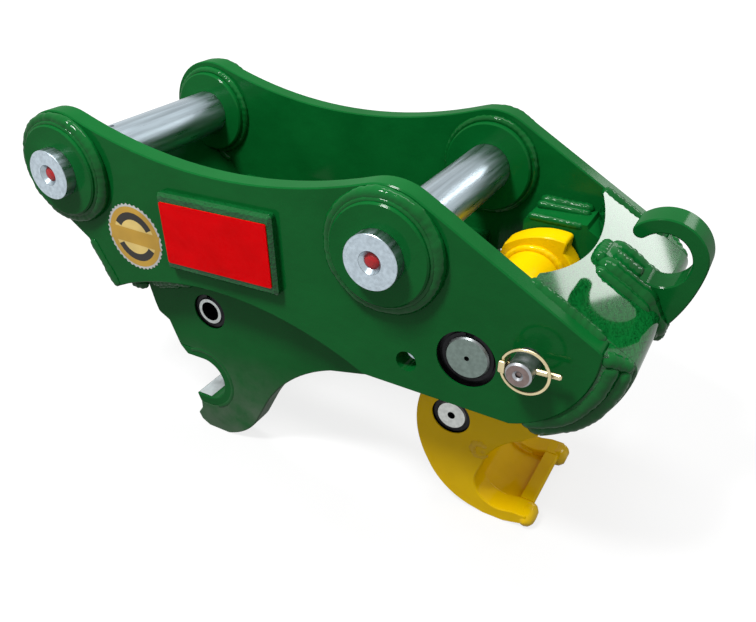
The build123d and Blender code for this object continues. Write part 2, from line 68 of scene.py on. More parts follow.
def new_material(name):
    """A material with its node tree and its shader."""
    material = bpy.data.materials.new(name)
    material.use_nodes = True
    return material, material.node_tree, material.node_tree.nodes["Principled BSDF"]


def texture_noise(tree, scale, detail, stretch=(1, 1, 1)):
    """Noise in the object's own metres; stretch under 1 draws it out along that axis."""
    place = tree.nodes.new("ShaderNodeTexCoord")
    mapping = tree.nodes.new("ShaderNodeMapping")
    mapping.inputs["Scale"].default_value = stretch
    tree.links.new(place.outputs["Object"], mapping.inputs["Vector"])
    spots = tree.nodes.new("ShaderNodeTexNoise")
    spots.inputs["Scale"].default_value = scale
    spots.inputs["Detail"].default_value = detail
    tree.links.new(mapping.outputs["Vector"], spots.inputs["Vector"])
    return spots.outputs["Fac"]


def ramp(tree, value, stops):
    """A colour ramp: stops are (place, colour)."""
    band = tree.nodes.new("ShaderNodeValToRGB")
    steps = band.color_ramp.elements
    while len(steps) < len(stops):
        steps.new(0.5)
    for step, (place, colour) in zip(steps, stops):
        step.position = place
        step.color = (*colour, 1)
    tree.links.new(value, band.inputs["Fac"])
    return band.outputs["Color"]


def grey(level):
    return (level, level, level)


def shaded(colour, share):
    """The same colour at a share of its brightness."""
    return tuple(share * channel for channel in colour)


def calculate(tree, operation, *values):
    """The result of a Math node; each value is a number or a socket."""
    node = tree.nodes.new("ShaderNodeMath")
    node.operation = operation
    for socket, value in zip(node.inputs, values):
        if isinstance(value, (int, float)):
            socket.default_value = value
        else:
            tree.links.new(value, socket)
    return node.outputs["Value"]


def carry_over(tree, value, from_min, from_max, to_min, to_max):
    """The value carried over from one range to another and held inside it."""
    node = tree.nodes.new("ShaderNodeMapRange")
    node.inputs["From Min"].default_value = from_min
    node.inputs["From Max"].default_value = from_max
    node.inputs["To Min"].default_value = to_min
    node.inputs["To Max"].default_value = to_max
    tree.links.new(value, node.inputs["Value"])
    return node.outputs["Result"]


def coordinate(tree, output, axis):
    """One axis of the object's own place, in metres, or of its surface's normal."""
    place = tree.nodes.new("ShaderNodeTexCoord")
    parts = tree.nodes.new("ShaderNodeSeparateXYZ")
    tree.links.new(place.outputs[output], parts.inputs["Vector"])
    return parts.outputs[axis]


def by_height(tree, z_from, z_to, at_from, at_to):
    """A value that runs from at_from to at_to between two heights in metres."""
    return carry_over(tree, coordinate(tree, "Object", "Z"), z_from, z_to, at_from, at_to)


def along_y(tree, output, least):
    """1 where that texture coordinate's y is more than least either way, else 0."""
    size = calculate(tree, "ABSOLUTE", coordinate(tree, output, "Y"))
    return calculate(tree, "GREATER_THAN", size, least)


def blend(tree, share, below, above):
    """Lay one colour over another by a share from 0 to 1; above is a socket or a colour."""
    mix = tree.nodes.new("ShaderNodeMix")
    mix.data_type = "RGBA"
    tree.links.new(share, mix.inputs["Factor"])
    tree.links.new(below, mix.inputs[MIX_A])
    if isinstance(above, tuple):
        mix.inputs[MIX_B].default_value = (*above, 1)
    else:
        tree.links.new(above, mix.inputs[MIX_B])
    return mix.outputs[MIX_RESULT]


def add_bumps(tree, shader, *layers):
    """Stacked bumps: each layer is (height, strength, distance in metres)."""
    last = None
    for height, strength, distance in layers:
        bump = tree.nodes.new("ShaderNodeBump")
        bump.inputs["Strength"].default_value = strength
        bump.inputs["Distance"].default_value = distance
        tree.links.new(height, bump.inputs["Height"])
        if last:
            tree.links.new(last, bump.inputs["Normal"])
        last = bump.outputs["Normal"]
    tree.links.new(last, shader.inputs["Normal"])


def seen_rays(tree, level, otherwise):
    """A level for rays from the camera, in gloss and through glass, and another for the rest."""
    ray = tree.nodes.new("ShaderNodeLightPath")
    seen = ray.outputs["Is Camera Ray"]
    for kind in ("Is Glossy Ray", "Is Transmission Ray"):
        seen = calculate(tree, "MAXIMUM", seen, ray.outputs[kind])
    return calculate(tree, "MULTIPLY_ADD", seen, level - otherwise, otherwise)


# Materials

FILM_SCALE, GLOSS_SCALE, WAVE_SCALE, DUST_REFLECTION_SCALE = 14, 60, 32, 36
WAVE_DEPTH = 4 * MM
PLAIN_COAT = 0.15


def dust_and_floor_reflection(tree, base, colour, z_from, z_to, most):
    """Blend a pale colour over the base, growing from one height to another: dust and scuffs, with
    the floor's reflection painted in.
    """
    patches = texture_noise(tree, DUST_REFLECTION_SCALE, 6)
    patchy = ramp(tree, patches, [(0.35, grey(0.25)), (0.65, grey(1))])
    share = calculate(tree, "MULTIPLY", by_height(tree, z_from, z_to, 0, most), patchy)
    return blend(tree, share, base, colour)


def paint(
    name, colour, dark, peel_strength=0.25, sag=0.35, peel_scale=420, peel_depth=0.6,
    coat=PLAIN_COAT, coat_blur=0.12, dust_and_reflection=None, streaks=None, plain_below=None,
):
    """Thick sprayed enamel: uneven film, orange peel in millimetres and slow waves.

    dust_and_reflection is (colour, height, lower height, most) for the pale dust and painted floor
    reflection, streaks are (scale, stretch, distance) and plain_below is (height, higher height)
    between which the coat grows, all in metres.
    """
    material, tree, shader = new_material(name)
    base = ramp(tree, texture_noise(tree, FILM_SCALE, 4), [(0.35, dark), (0.62, colour)])
    if dust_and_reflection:
        base = dust_and_floor_reflection(tree, base, *dust_and_reflection)
    tree.links.new(base, shader.inputs["Base Color"])
    gloss = texture_noise(tree, GLOSS_SCALE, 3)
    roughness = ramp(tree, gloss, [(0.3, grey(0.26)), (0.75, grey(0.42))])
    tree.links.new(roughness, shader.inputs["Roughness"])
    shader.inputs["Specular IOR Level"].default_value = 0
    shader.inputs["Coat Weight"].default_value = coat
    if plain_below:
        weight = by_height(tree, *plain_below, PLAIN_COAT, coat)
        tree.links.new(weight, shader.inputs["Coat Weight"])
    shader.inputs["Coat Roughness"].default_value = coat_blur
    layers = [
        (texture_noise(tree, WAVE_SCALE, 2), sag, WAVE_DEPTH),
        (texture_noise(tree, peel_scale, 2), peel_strength, peel_depth * MM),
    ]
    if streaks:
        scale, stretch, distance = streaks
        layers.append((texture_noise(tree, scale, 6, stretch), 1, distance))
    add_bumps(tree, shader, *layers)
    return material


END_GRAIN_SCALE = 260
ACROSS_Y = 0.9
MARK_DEPTH = 0.4 * MM


def metal(
    name, colour, low, high, stretch=(1, 1, 1), scale=180, bump=0.15, ends=None,
    stain_scale=40, stain_stretch=(1, 1, 1),
):
    """Bare or plated metal with machining marks along the stretched way and stained patches.

    low and high bound the roughness. ends is (colour, least y in metres) for the faces
    across y from there outwards.
    """
    material, tree, shader = new_material(name)
    shader.inputs["Metallic"].default_value = 1
    stain = texture_noise(tree, stain_scale, 5, stain_stretch)
    base = ramp(tree, stain, [(0.3, shaded(colour, 0.6)), (0.6, colour)])
    if ends:
        end_colour, least = ends
        at_end = calculate(
            tree, "MULTIPLY", along_y(tree, "Normal", ACROSS_Y), along_y(tree, "Object", least)
        )
        grain = texture_noise(tree, END_GRAIN_SCALE, 4)
        end_base = ramp(tree, grain, [(0.35, shaded(end_colour, 0.8)), (0.65, end_colour)])
        base = blend(tree, at_end, base, end_base)
    tree.links.new(base, shader.inputs["Base Color"])
    marks = texture_noise(tree, scale, 6, stretch)
    roughness = ramp(tree, marks, [(0.3, grey(low)), (0.7, grey(high))])
    tree.links.new(roughness, shader.inputs["Roughness"])
    add_bumps(tree, shader, (marks, bump, MARK_DEPTH))
    return material


def moulded(name, colour, dark):
    """Plain moulded plastic with a fine grain."""
    material, tree, shader = new_material(name)
    grain = texture_noise(tree, 300, 3)
    tree.links.new(ramp(tree, grain, [(0.3, dark), (0.7, colour)]), shader.inputs["Base Color"])
    shader.inputs["Roughness"].default_value = 0.45
    add_bumps(tree, shader, (grain, 0.2, 0.3 * MM))
    return material


def print_film(name, colour, metallic):
    """A printed foil, as on a round sticker."""
    material, tree, shader = new_material(name)
    tone = ramp(tree, texture_noise(tree, 24, 2), [(0.35, shaded(colour, 0.75)), (0.65, colour)])
    tree.links.new(tone, shader.inputs["Base Color"])
    shader.inputs["Metallic"].default_value = metallic
    shader.inputs["Roughness"].default_value = 0.35
    shader.inputs["Specular IOR Level"].default_value = 0.25
    return material


WELD_FILM = {"peel_strength": 0.5, "sag": 0.7, "peel_scale": 300, "coat": 0.28, "coat_blur": 0.07}
THICK_FILM = {"peel_strength": 1.0, "sag": 0.9, "peel_scale": 330}

GREEN, GREEN_DARK = (0.003, 0.112, 0.020), (0.002, 0.094, 0.016)
green = paint("green_enamel", GREEN, GREEN_DARK)
green_rough = paint("green_enamel_weld", GREEN, (0.002, 0.080, 0.013), **WELD_FILM)
green_runs = paint(
    "green_enamel_runs", GREEN, GREEN_DARK, **THICK_FILM, peel_depth=2.6, coat=0.65,
    coat_blur=0.06, streaks=(130, (0.4, 1, 1), 0.0045), plain_below=(-0.10, -0.06),
)
green_cast = paint(
    "green_enamel_cast", (0.004, 0.105, 0.022), (0.002, 0.075, 0.013), **THICK_FILM,
    peel_depth=3, coat=0.5, coat_blur=0.05,
)
# The front hooks grow paler towards the bottom: dust, with the floor's reflection painted into the
# colour.
green_dust_reflection = paint(
    "green_enamel_dust_reflection", GREEN, GREEN_DARK, dust_and_reflection=((0.085, 0.140, 0.088), -0.18, -0.26, 0.85)
)
YELLOW, YELLOW_DARK = (0.86, 0.55, 0.001), (0.78, 0.48, 0.001)
yellow = paint("yellow_enamel", YELLOW, YELLOW_DARK)
yellow_rough = paint("yellow_enamel_weld", YELLOW, (0.70, 0.42, 0.001), **WELD_FILM)
red = paint(
    "red_enamel", (0.77, 0.001, 0.003), (0.68, 0.001, 0.002),
    peel_strength=0.35, sag=0.5, coat=0.06,
)
shaft_steel = metal(
    "shaft_steel", (0.43, 0.51, 0.56), 0.25, 0.45, (1, 0.06, 1), 260, 0.25,
    ends=((0.46, 0.54, 0.60), 0.14), stain_scale=150, stain_stretch=(1, 0.03, 1),
)
pivot_steel = metal("pivot_steel", (0.20, 0.22, 0.22), 0.3, 0.5, ends=((0.17, 0.22, 0.20), 0.12))
# The anchor pin's near-black colour is grease and painted shade in its end hole; only the faces
# across y beyond 90 mm get the pale steel.
anchor_steel_grease_and_shade = metal("anchor_steel_grease_and_shade", (0.03, 0.03, 0.035), 0.3, 0.5, ends=((0.42, 0.45, 0.44), 0.09))
link_steel = metal("link_steel", (0.10, 0.10, 0.10), 0.3, 0.5, ends=((0.50, 0.52, 0.50), 0.06))
bare_steel = metal("bare_steel", (0.74, 0.80, 0.82), 0.4, 0.7, (1, 0.2, 1), 300, 0.3)
ring_steel = metal("ring_steel", (0.020, 0.020, 0.022), 0.35, 0.55)
zinc = metal("zinc", (0.34, 0.35, 0.37), 0.34, 0.55, ends=((0.22, 0.17, 0.16), 0.148))
gold_zinc = metal("gold_zinc", (0.70, 0.60, 0.36), 0.16, 0.30, bump=0.02)
plastic = moulded("red_plastic", (0.46, 0.003, 0.006), (0.30, 0.002, 0.004))
foil_white = print_film("foil_white", (0.62, 0.62, 0.60), 0)
foil_gold = print_film("foil_gold", (0.60, 0.35, 0.04), 0.2)
foil_pale = print_film("foil_pale_gold", (0.84, 0.62, 0.20), 0.2)
foil_dark = print_film("foil_dark", (0.015, 0.013, 0.010), 0)

by_slot = {
    "green_paint": green,
    "yellow_paint": yellow,
    "pin_steel": shaft_steel,
    "ring_steel": ring_steel,
    "zinc": zinc,
    "gold_zinc": gold_zinc,
    "red_paint": red,
    "red_plastic": plastic,
}
by_node = {
    "nose_wrap": green_runs,
    "near_front_hook": green_dust_reflection,
    "far_front_hook": green_dust_reflection,
    "name_block": green_cast,
    "pivot_pin": pivot_steel,
    "anchor_pin": anchor_steel_grease_and_shade,
    "hook_pin": link_steel,
}
SHARP_FROM = math.radians(24)
slot_of = {part["node"]: part["material_slot"] for part in frame["record"]["subparts"]}
for name, part in nodes.items():
    part.data.materials.clear()
    part.data.materials.append(by_node.get(name, by_slot[slot_of[name]]))
    part.data.polygons.foreach_set("use_smooth", [True] * len(part.data.polygons))
    part.data.set_sharp_from_angle(angle=SHARP_FROM)


# Places read from the frame, in millimetres

def centre(node):
    """The middle of the box round a node."""
    low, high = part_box(node)
    return (low + high) / 2 / MM


def at(x, z, y):
    """A point given by its place in the side view and then its y."""
    return Vector((x, y, z))


def on_ring(x, z, radius, y, degrees):
    """The point at an angle round an axis along y."""
    turn = math.radians(degrees)
    return at(x + radius * math.cos(turn), z + radius * math.sin(turn), y)


def ring_points(x, z, radius, y, start=0, end=360, step=4):
    """Points round an axis along y, about step degrees apart."""
    count = max(2, round(abs(end - start) / step))
    return [
        on_ring(x, z, radius, y, start + (end - start) * i / count) for i in range(count + 1)
    ]


plate_low, plate_high = (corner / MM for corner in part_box("near_side_plate"))
outside = -plate_low.y
inside = -plate_high.y
front_pin = centre("near_front_boss")
rear_pin = centre("near_rear_boss")
hook_outside = -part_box("near_front_hook")[0].y / MM
stick_pins = (("front", front_pin), ("rear", rear_pin))


# Weld beads: a rippled, slightly wandering run of metal laid in a corner

BEAD_STEP = 1.6
BEAD_SIDES = 12
RIPPLE = 6.5
RIPPLE_BEND = 0.35
SLOW_WANDER, SLOW_PITCH = 0.14, 0.05
QUICK_WANDER, QUICK_PITCH = 0.08, 0.21
END_ROUNDING = 1.1
LEAST_END = 0.02
LEAST_SIDE = 0.1


def finish_mesh(name, mesh, body, material, smooth=True):
    """Turn a mesh in metres into a piece that rides on a body."""
    data = bpy.data.meshes.new(name)
    mesh.to_mesh(data)
    mesh.free()
    data.materials.append(material)
    data.polygons.foreach_set("use_smooth", [smooth] * len(data.polygons))
    piece = bpy.data.objects.new(name, data)
    bpy.context.scene.collection.objects.link(piece)
    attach(piece, body)
    return piece


def resample(points, step):
    """Points about one step apart along a line, and the line's length."""
    lengths = [(b - a).length for a, b in zip(points, points[1:])]
    total = sum(lengths)
    count = max(2, round(total / step))
    found = []
    index = 0
    gone = 0.0
    for i in range(count + 1):
        target = total * i / count
        while index < len(lengths) - 1 and gone + lengths[index] < target:
            gone += lengths[index]
            index += 1
        share = (target - gone) / lengths[index] if lengths[index] else 0
        found.append(points[index].lerp(points[index + 1], min(1, share)))
    return found, total


def bead(
    name, points, radius, body="frame", material=green_rough, flat=1.0, closed=False, ripple=0.10
):
    """A weld run along points, in millimetres, with rounded ends and overlapping ripples."""
    path, total = resample(points, BEAD_STEP)
    if closed:
        path = path[:-1]
    mesh = bmesh.new()
    rings = []
    count = len(path)
    for i, point in enumerate(path):
        if closed:
            along = path[(i + 1) % count] - path[i - 1]
        else:
            along = path[min(i + 1, count - 1)] - path[max(i - 1, 0)]
        along.normalize()
        side = along.cross(Vector((0, 1, 0)))
        if side.length < LEAST_SIDE:
            side = along.cross(Vector((0, 0, 1)))
        side.normalize()
        up = side.cross(along)
        gone = i * BEAD_STEP
        size = radius
        if not closed:
            end = min(gone, total - gone) / (radius * END_ROUNDING)
            size *= math.sqrt(max(LEAST_END, 1 - (1 - min(1, end)) ** 2))
        wander = SLOW_WANDER * noise.noise(point * SLOW_PITCH)
        wander += QUICK_WANDER * noise.noise(point * QUICK_PITCH)
        ring = []
        for k in range(BEAD_SIDES):
            turn = 2 * math.pi * k / BEAD_SIDES
            phase = (gone + RIPPLE_BEND * radius * math.cos(turn * 2)) / RIPPLE % 1
            swell = 1 - ripple * (1 - math.sin(math.pi * phase)) + wander
            offset = (side * math.cos(turn) + up * math.sin(turn) * flat) * size * swell
            ring.append(mesh.verts.new((point + offset) * MM))
        rings.append(ring)
    pairs = list(zip(rings, rings[1:]))
    if closed:
        pairs.append((rings[-1], rings[0]))
    for a, b in pairs:
        for k in range(BEAD_SIDES):
            n = (k + 1) % BEAD_SIDES
            mesh.faces.new((a[k], a[n], b[n], b[k]))
    if not closed:
        mesh.faces.new(list(reversed(rings[0])))
        mesh.faces.new(rings[-1])
    bmesh.ops.recalc_face_normals(mesh, faces=mesh.faces)
    return finish_mesh(name, mesh, body, material)


def seam(name, points, radius, **shape):
    """The same weld on both sides: the points are those of the far side."""
    for side_name, side in (("near", -1), ("far", 1)):
        line = [Vector((point.x, side * point.y, point.z)) for point in points]
        bead(f"weld_{side_name}_{name}", line, radius, **shape)


for pin_name, pin in stick_pins:
    for place, radius, y, size, ripple in (
        ("boss", 50.5, outside + 2.5, 6.6, 0.05),
        ("boss_cap", 47, outside + 7, 3.2, 0.05),
        ("boss_inner", 48, inside - 1.5, 4.5, 0.10),
    ):
        ring = ring_points(pin.x, pin.z, radius, y)
        seam(f"{pin_name}_{place}", ring, size, closed=True, ripple=ripple)

# The arch: side plate to doubler, and doubler to hook plate
ARCH_X, ARCH_Z, ARCH_R = 187, -445, 351
DOUBLER_DROP = 5
for name, radius, y, start, end, size in (
    ("arch", ARCH_R - 1, inside + 0.5, 110, 64, 2.8),
    ("doubler", ARCH_R - DOUBLER_DROP - 1.5, hook_outside + 1.5, 109, 62, 4.5),
):
    seam(name, ring_points(ARCH_X, ARCH_Z, radius, y, start, end, 1), size, ripple=0.06)

# The front jaw's liner to the hook plates
JAW_X, JAW_Z, JAW_R, LINER_R = 123, -238, 26.5, 36.5
jaw_line = ring_points(JAW_X, JAW_Z, LINER_R + 1, hook_outside - 1, 118, -70)
seam("front_jaw", jaw_line, 3, flat=0.6, ripple=0.05)

# The nose: two passes round the rim, the seam along the slope, and a bead over the rim's top
SLOPE = math.radians(29.3)
NOSE_X, NOSE_Z = rear_pin.x + 93, -42
WRAP_R = 120
RIM_END, DRAWN_IN_END = -44, -66
DRAWN_IN = 0.35
ear = plate_high.z
slope_from = (rear_pin.x + ear * math.sin(SLOPE), ear * math.cos(SLOPE))


def slope_z(x):
    """The height of the nose's slope."""
    return slope_from[1] - (x - slope_from[0]) * math.tan(SLOPE)


def slope_turn(radius):
    """The angle at which a circle round the nose's centre meets the slope."""
    across = (slope_from[0] - NOSE_X) * math.sin(SLOPE)
    height = across + (slope_from[1] - NOSE_Z) * math.cos(SLOPE)
    return 90 - math.degrees(SLOPE) - math.degrees(math.acos(height / radius))


for i, (radius, y, size) in enumerate(((110.5, 111.5, 8.5), (101.5, 119, 7))):
    rim = ring_points(NOSE_X, NOSE_Z, radius, y, slope_turn(radius) - 3.5, RIM_END, 2)
    for turn in range(RIM_END - 2, DRAWN_IN_END - 2, -2):
        rim.append(on_ring(NOSE_X, NOSE_Z, radius + DRAWN_IN * (turn - RIM_END), y, turn))
    seam(f"nose_rim_{i}", rim, size, ripple=0.04)
NOSE_EDGE_R = 94.5
nose_edge_x = rear_pin.x + 118
nose_end_x = on_ring(NOSE_X, NOSE_Z, NOSE_EDGE_R, 0, slope_turn(NOSE_EDGE_R)).x - 4
top_seam = [at(x, slope_z(x) - 3, inside + 1) for x in (nose_edge_x, nose_end_x)]
seam("nose_top", top_seam, 5.2, flat=1.5, ripple=0.14)
cap = [
    on_ring(NOSE_X, NOSE_Z, radius, y, slope_turn(radius) - 3)
    for radius, y in ((93, outside - 3), (115, inside - 1))
]
seam("nose_cap", cap, 6, flat=1.2, ripple=0.14)

# The lifting hook's foot
LIFT_X = rear_pin.x + 200
FOOT_END = -15
lift_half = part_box("lifting_hook")[1].y / MM
end_half = lift_half + 4
toe_x = LIFT_X - 50
corner_turn = slope_turn(WRAP_R) - 8
corner_x = NOSE_X + WRAP_R * math.cos(math.radians(corner_turn)) - 16
for name, y, lift, size in (("foot", lift_half + 2, 0, 11), ("foot_toe", lift_half + 13, -2.5, 7)):
    line = [at(x, slope_z(x) + lift, y) for x in (toe_x, corner_x)]
    line += ring_points(NOSE_X, NOSE_Z - 0.5, WRAP_R + lift - 1, y, corner_turn, FOOT_END, 3)
    seam(name, line, size, ripple=0.07)
foot_top = [at(x, slope_z(x) + lift, 0) for x, lift in ((toe_x + 2, 4), (LIFT_X - 14, 5))]
bead("weld_lifting_hook_top", foot_top, 7, flat=2.1, ripple=0.2)
toe = [at(toe_x, slope_z(toe_x) + 1, y) for y in (-end_half, end_half)]
bead("weld_lifting_hook_toe", toe, 7.5, ripple=0.16)
tail = [on_ring(NOSE_X, NOSE_Z, WRAP_R + 1, y, FOOT_END - 1) for y in (-end_half, end_half)]
bead("weld_lifting_hook_tail", tail, 7, ripple=0.16)

# The pivot blocks' tops, inside the side plates
block_low, block_high = (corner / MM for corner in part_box("far_pivot_block"))
for i, (y, lift, size) in enumerate((
    (block_high.y - 2, 3, 6),
    (block_high.y - 11, 1, 5),
    (block_low.y + 2, -1, 4),
)):
    line = [at(x, block_high.z - 2 + lift, y) for x in (block_low.x + 3, block_high.x - 42)]
    seam(f"pivot_block_{i}", line, size, ripple=0.14)

# The front: the cross plate's seams, and lumps on the side plates' edge, arch and foot
CROSS_TOP, CROSS_KNEE, CROSS_FOOT = (-31.6, -48.6), (10, -77), (38, -128)
INNER_TOP, INNER_KNEE = (-20, -28), (19, -61)
EDGE_TOP, EDGE_FOOT = (15, -76), (42.5, -125.5)
LUMPS_FROM, LUMPS_TO = 44, 66
cross_line = [at(*point, inside - 1) for point in (CROSS_TOP, CROSS_KNEE, CROSS_FOOT)]
seam("cross_plate", cross_line, 3.5, ripple=0.12)
plate_front = [at(*point, outside) for point in (EDGE_TOP, EDGE_FOOT)]
seam("plate_front", plate_front, 5.5, flat=0.5, ripple=0.12)
for i, (radius, y, end, size) in enumerate((
    (ARCH_R - 6, inside - 1, 99, 8),
    (ARCH_R - 12, inside - 6, 103, 7),
)):
    line = ring_points(ARCH_X, ARCH_Z, radius, y, 109, end, 1)
    seam(f"arch_front_{i}", line, size, ripple=0.1)
plate_foot = [
    at(LUMPS_FROM, plate_low.z + 4, inside + 1),
    at(LUMPS_TO, plate_low.z + 5, inside),
]
seam("plate_foot", plate_foot, 6.5, ripple=0.16)
cross_inner = [at(*point, inside - 1) for point in (INNER_TOP, INNER_KNEE)]
seam("cross_plate_inner", cross_inner, 4.5, ripple=0.12)

# The rear hook: liner to cheeks, hub to cheeks, the plug weld in each cheek, and the tips
hook = {"body": "hook", "material": yellow_rough}
MOUTH_X, MOUTH_Z, MOUTH_R, SET_BACK = rear_pin.x + 105, -266, 27.6, 6
HUB_R = 31.5
PLUG_X, PLUG_Z, PLUG_SUNK = rear_pin.x + 79, -226, 1.6
TIP_X, TIP_Z, TIP_R = rear_pin.x + 134, -298.5, 9.3
cheek_low, cheek_high = (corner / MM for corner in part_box("far_hook_cheek"))
pivot = centre("pivot_pin")
mouth = ring_points(MOUTH_X, MOUTH_Z, MOUTH_R + SET_BACK - 1, cheek_low.y - 0.5, 275, 150)
seam("mouth", mouth, 3.5, ripple=0.08, **hook)
seam("hub", ring_points(pivot.x, pivot.z, HUB_R, cheek_low.y - 1), 4, closed=True, **hook)
for i, (radius, start, end, size) in enumerate((
    (7.5, 20, 250, 4.5),
    (9.5, 190, 330, 3.2),
    (4, 280, 400, 3.4),
)):
    pucker = ring_points(PLUG_X, PLUG_Z, radius, cheek_high.y - PLUG_SUNK, start, end, 20)
    seam(f"cheek_plug_{i}", pucker, size, flat=0.75, ripple=0.28, **hook)
tip = [at(TIP_X, TIP_Z, y) for y in (cheek_low.y - 3, cheek_high.y + 2)]
seam("cheek_tip", tip, TIP_R, ripple=0.04, **hook)

# The strut's eye to its barrel
EYE_OUT, EYE_R, EYE_STEPS = 24, 28, 36
anchor = centre("anchor_pin")
hook_pin = centre("hook_pin")
strut_way = (hook_pin - anchor).normalized()
strut_side = Vector((-strut_way.z, 0, strut_way.x))
eye = []
for i in range(EYE_STEPS + 1):
    turn = math.radians(360 * i / EYE_STEPS)
    outwards = strut_side * math.cos(turn) + Vector((0, math.sin(turn), 0))
    eye.append(anchor + strut_way * EYE_OUT + outwards * EYE_R)
bead("weld_strut_eye", eye, 3.5, body="strut_barrel", closed=True)


# Turned surfaces: black linings in the recesses under the retaining rings, for dirt and painted
# shade, the pins' near ends, the sticker

FACET_DEGREES = 3.75
SCALLOPED_FACETS = 320


def turned(name, x, z, profile, body, material, start=0, end=360, scallops=0, depth=0):
    """A thin surface turned about y: profile is (radius, y); scallops wave its last radius."""
    mesh = bmesh.new()
    whole = end - start == 360
    count = SCALLOPED_FACETS if scallops else round((end - start) / FACET_DEGREES)
    rings = []
    for i in range(count if whole else count + 1):
        degrees = start + (end - start) * i / count
        ring = []
        for radius, y in profile:
            if scallops and (radius, y) == profile[-1]:
                radius += depth * math.cos(scallops * math.radians(degrees))
            ring.append(mesh.verts.new(on_ring(x, z, radius, y, degrees) * MM))
        rings.append(ring)
    pairs = list(zip(rings, rings[1:]))
    if whole:
        pairs.append((rings[-1], rings[0]))
    for a, b in pairs:
        for k in range(len(profile) - 1):
            mesh.faces.new((a[k], b[k], b[k + 1], a[k + 1]))
    bmesh.ops.recalc_face_normals(mesh, faces=mesh.faces)
    return finish_mesh(name, mesh, body, material, smooth=False)


def flat_sheet(name, corners, body, material):
    """One thin face through its corners, in millimetres."""
    mesh = bmesh.new()
    mesh.faces.new([mesh.verts.new(corner * MM) for corner in corners])
    return finish_mesh(name, mesh, body, material, smooth=False)


# Each pin's recess gets a black lining on its floor and wall: the dirt there, with the recess's
# shade painted in.
LINING_GAP, LINING_LIFT, LINING_SUNK = 0.2, 0.3, 1.2
for pin_name, body, pin_r, recess_r, face, depth in (
    ("pivot", "frame", 20, 27, outside, 7),
    ("anchor", "frame", 16, 20.5, hook_outside, 5),
    ("hook", "hook", 16, 20.5, cheek_high.y, 5),
):
    pin = centre(f"{pin_name}_pin")
    wall_r = recess_r - 0.15
    for side_name, side in (("near", -1), ("far", 1)):
        bottom = side * (face - depth + LINING_LIFT)
        profile = [
            (pin_r + LINING_GAP, bottom),
            (wall_r, bottom),
            (wall_r, side * (face - LINING_SUNK)),
        ]
        recess_dirt_and_shade = f"{side_name}_{pin_name}_pin_washer"
        turned(recess_dirt_and_shade, pin.x, pin.z, profile, body, ring_steel)

AXIS_R = 0.01
PIN_R, RIM_IN, RIM_ROUND, RIM_SKIN, RIM_DEEP = 25, 3.2, 0.4, 0.05, 3.2
CONE_R, PLUG_R = 10.3, 7
pin_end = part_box("front_stick_pin")[0].y / MM
rim = [
    (PIN_R - RIM_IN, pin_end),
    (PIN_R - RIM_ROUND, pin_end),
    (PIN_R + RIM_SKIN, pin_end + 0.5),
    (PIN_R + RIM_SKIN, pin_end + RIM_DEEP),
]
cone = [(CONE_R, pin_end + 0.1), (PLUG_R, pin_end + 3.7)]
plug_head = [
    (AXIS_R, pin_end + 1.6),
    (3, pin_end + 1.8),
    (5.2, pin_end + 2.5),
    (PLUG_R - 0.1, pin_end + 3.8),
]
for pin_name, pin in stick_pins:
    body = f"{pin_name}_pin"
    turned(f"{pin_name}_pin_rim", pin.x, pin.z, rim, body, shaft_steel)
    turned(f"{pin_name}_pin_cone", pin.x, pin.z, cone, body, shaft_steel)
    turned(f"{pin_name}_plug_head", pin.x, pin.z, plug_head, body, plastic)

safety_pin = centre("safety_pin")
safety_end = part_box("safety_pin")[0].y / MM
cone = [(4.4, safety_end + 0.1), (2.6, safety_end + 1.6)]
turned("safety_pin_cone", safety_pin.x, safety_pin.z, cone, "safety_pin", zinc)

STICKER_X, STICKER_Z = 80, -58
MIDDLE_R, ARC_R, RING_R, RIM_R, LAP = 18.6, 26.6, 32.6, 35.3, 0.1
LOW, MID, HIGH, BAND_HIGH = 0.2, 0.24, 0.26, 0.34
SCALLOPS, SCALLOP_DEPTH = 40, 0.8
for name, r_in, r_out, lift, material, start, end in (
    ("rim", RING_R - LAP, RIM_R, LOW, foil_white, 0, 360),
    ("outer_ring", ARC_R - LAP, RING_R + LAP, HIGH, foil_gold, 0, 360),
    ("top_arc", MIDDLE_R - LAP, ARC_R, MID, foil_dark, 28, 152),
    ("foot_arc", MIDDLE_R - LAP, ARC_R, MID, foil_dark, 208, 332),
    ("middle", AXIS_R, MIDDLE_R + LAP, HIGH, foil_pale, 0, 360),
    ("backing", MIDDLE_R - LAP, ARC_R, LOW, foil_pale, 0, 360),
):
    profile = [(r_in, -outside - lift), (r_out, -outside - lift)]
    scallops = SCALLOPS if name == "rim" else 0
    turned(
        f"sticker_{name}", STICKER_X, STICKER_Z, profile, "frame", material,
        start, end, scallops, SCALLOP_DEPTH,
    )
BAND_HALF, BAND_NOTCH, BAND_RISE = 34, 2.5, 8
band = [
    (-BAND_HALF, -BAND_RISE), (BAND_HALF, -BAND_RISE), (BAND_HALF - BAND_NOTCH, 0),
    (BAND_HALF, BAND_RISE), (-BAND_HALF, BAND_RISE), (-BAND_HALF + BAND_NOTCH, 0),
]
corners = [at(STICKER_X + x, STICKER_Z + z, -outside - BAND_HIGH) for x, z in band]
flat_sheet("sticker_band", corners, "frame", foil_gold)

# The bare strip that the bucket's pin has worn on the front jaw's lower lip
STRIP_X = (107.5, JAW_X + 3)
STRIP_HALF = 93
strip_z = JAW_Z - JAW_R + 0.15
strip = ((STRIP_X[0], -1), (STRIP_X[1], -1), (STRIP_X[1], 1), (STRIP_X[0], 1))
corners = [at(x, strip_z, side * STRIP_HALF) for x, side in strip]
flat_sheet("jaw_wear_strip", corners, "frame", bare_steel)


# Camera, solved from the photograph: place in millimetres, turns in radians

CAMERA_AT = (631.9, -624.7, 285.1)
CAMERA_YAW = 0.503
CAMERA_PITCH = -0.556
CAMERA_ROLL = 0.015
PHOTO = (756, 622)
FOCAL_PX = 769
CENTRE_PX = (374.2, 319.2)
SENSOR = 36

